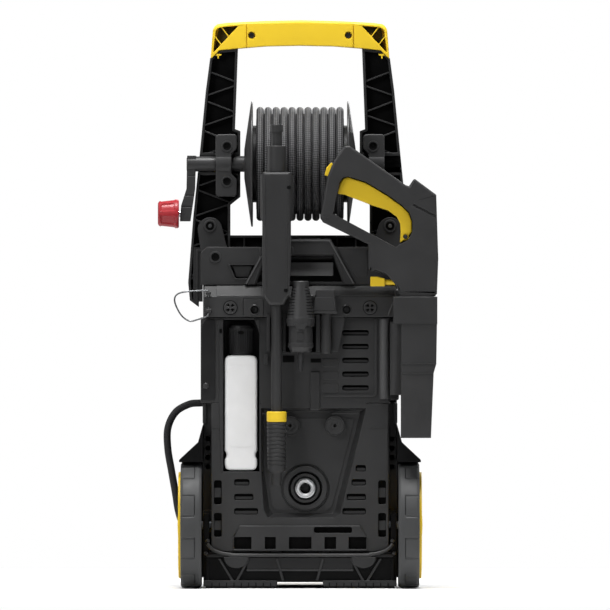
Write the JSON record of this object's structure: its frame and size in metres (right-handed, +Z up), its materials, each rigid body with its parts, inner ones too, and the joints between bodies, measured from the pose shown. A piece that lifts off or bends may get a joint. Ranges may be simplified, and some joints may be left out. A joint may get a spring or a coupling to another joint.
{
  "type": "pressure washer",
  "caption": "Upright electric pressure washer on two wheels with a hose reel, a gun in a side holster, two lances and a detergent bottle.",
  "frame": {"origin": "on the floor under the middle of the machine", "axes": "+Z up, -Y towards the back with the hose reel and lances, +X to the right seen from the back"},
  "size_m": [0.421, 0.373, 0.854],
  "materials": {
    "grey_plastic": "fine texture, satin",
    "black_plastic": "satin moulded polypropylene",
    "yellow_plastic": "satin moulded plastic",
    "red_plastic": "semi-gloss",
    "screw_steel": "black oxide",
    "bright_steel": "zinc plated",
    "silver_fitting": "satin",
    "pump_alloy": "die cast",
    "motor_metal": "laminated steel and paint",
    "hose_rubber": "braid-reinforced, dull sheen",
    "black_rubber": "matte",
    "tyre": "matte",
    "switch_plastic": "satin",
    "white_plastic": "satin",
    "bottle_plastic": "translucent polyethylene"
  },
  "bodies": {
    "frame": {"handle_frame": "black_plastic", "handle_grip": "yellow_plastic", "grip_screws": "screw_steel", "bearing_cap_left": "grey_plastic", "bearing_cap_right": "grey_plastic", "bearing_cap_screws": "screw_steel", "base": "black_plastic", "rubber_feet": "black_rubber", "rear_cover": "grey_plastic", "upper_rear_cover": "grey_plastic", "accessory_shelf": "grey_plastic", "front_cover": "grey_plastic", "front_panel": "yellow_plastic", "switch_box": "switch_plastic", "cable_gland": "black_rubber", "cover_screws": "screw_steel", "fender_left": "black_plastic", "fender_right": "black_plastic", "axle": "bright_steel", "axle_clips": "bright_steel", "water_inlet": "silver_fitting", "inlet_filter": "white_plastic", "pump": "pump_alloy", "motor_housing": "motor_metal", "outlet_fitting": "silver_fitting", "connecting_hose": "hose_rubber", "holster": "grey_plastic"},
    "reel": {"reel_drum": "grey_plastic", "reel_flange_left": "grey_plastic", "reel_flange_right": "grey_plastic", "hose_on_reel": "hose_rubber", "crank_arm": "grey_plastic", "crank_pin": "bright_steel"},
    "knob": {"crank_knob": "red_plastic"},
    "left_wheel": {"wheel_left": "tyre", "wheel_hub_left": "yellow_plastic"},
    "right_wheel": {"wheel_right": "tyre", "wheel_hub_right": "yellow_plastic"},
    "rotor": {"motor_rotor": "motor_metal"},
    "switch": {"power_switch_knob": "grey_plastic"},
    "bottle": {"detergent_bottle": "bottle_plastic"},
    "cap": {"bottle_cap": "black_plastic"},
    "hook": {"cord_hook": "bright_steel"},
    "gun": {"gun_shell_left": "grey_plastic", "gun_shell_right": "grey_plastic", "gun_barrel": "silver_fitting", "gun_pins": "bright_steel"},
    "trigger": {"gun_trigger": "yellow_plastic"},
    "lock": {"trigger_lock": "yellow_plastic"},
    "release": {"lance_release_button": "yellow_plastic"},
    "lance": {"lance_handle": "grey_plastic", "lance_stub": "grey_plastic", "lance_tube": "black_plastic", "lance_collar": "yellow_plastic"},
    "nozzle": {"lance_nozzle": "grey_plastic"},
    "turbo": {"turbo_nozzle_body": "grey_plastic", "turbo_nozzle_grip": "grey_plastic", "turbo_stub": "silver_fitting"}
  },
  "joints": [
    {"name": "reel_spin", "type": "hinge", "parent": "frame", "child": "reel", "pos_m": [0, -0.03, 0.6375], "axis": [1, 0, 0], "continuous": true},
    {"name": "crank_knob_spin", "type": "hinge", "parent": "reel", "child": "knob", "pos_m": [-0.198, -0.03, 0.5625], "axis": [1, 0, 0], "continuous": true},
    {"name": "left_wheel_spin", "type": "hinge", "parent": "frame", "child": "left_wheel", "pos_m": [-0.163, -0.09, 0.0945], "axis": [1, 0, 0], "continuous": true},
    {"name": "right_wheel_spin", "type": "hinge", "parent": "frame", "child": "right_wheel", "pos_m": [0.163, -0.09, 0.0945], "axis": [1, 0, 0], "continuous": true},
    {"name": "motor_spin", "type": "hinge", "parent": "frame", "child": "rotor", "pos_m": [0, 0.05, 0.3], "axis": [0, 0, 1], "continuous": true},
    {"name": "power_switch_turn", "type": "hinge", "parent": "frame", "child": "switch", "pos_m": [0, 0.175, 0.3], "axis": [0, 1, 0], "range_deg": [0, 90]},
    {"name": "bottle_pull", "type": "slide", "parent": "frame", "child": "bottle", "axis": [0, -1, 0], "range_m": [0, 0.07]},
    {"name": "bottle_cap_turn", "type": "hinge", "parent": "bottle", "child": "cap", "pos_m": [-0.0885, -0.09, 0.37], "axis": [0, 0, 1], "continuous": true},
    {"name": "cord_hook_swing", "type": "hinge", "parent": "frame", "child": "hook", "pos_m": [-0.137, -0.1315, 0.43], "axis": [0, 0, 1], "range_deg": [0, 90]},
    {"name": "gun_lift", "type": "slide", "parent": "frame", "child": "gun", "axis": [0, 0, 1], "range_m": [0, 0.06]},
    {"name": "trigger_squeeze", "type": "hinge", "parent": "gun", "child": "trigger", "pos_m": [0.158, -0.148, 0.527], "axis": [0, 1, 0], "range_deg": [0, 8], "stiffness_Nm_per_rad": 2},
    {"name": "trigger_lock_turn", "type": "hinge", "parent": "gun", "child": "lock", "pos_m": [0.053, -0.148, 0.623], "axis": [0, 1, 0], "range_deg": [0, 25]},
    {"name": "lance_release_press", "type": "slide", "parent": "gun", "child": "release", "axis": [1, 0, 0], "range_m": [0, 0.004], "stiffness_N_per_m": 300},
    {"name": "lance_lift", "type": "slide", "parent": "frame", "child": "lance", "axis": [0, 0, 1], "range_m": [0, 0.1]},
    {"name": "spray_pattern_turn", "type": "hinge", "parent": "lance", "child": "nozzle", "pos_m": [-0.035, -0.148, 0.2], "axis": [0, 0, 1], "range_deg": [0, 120]},
    {"name": "turbo_nozzle_pull", "type": "slide", "parent": "frame", "child": "turbo", "axis": [0, -1, 0], "range_m": [0, 0.06]}
  ]
}
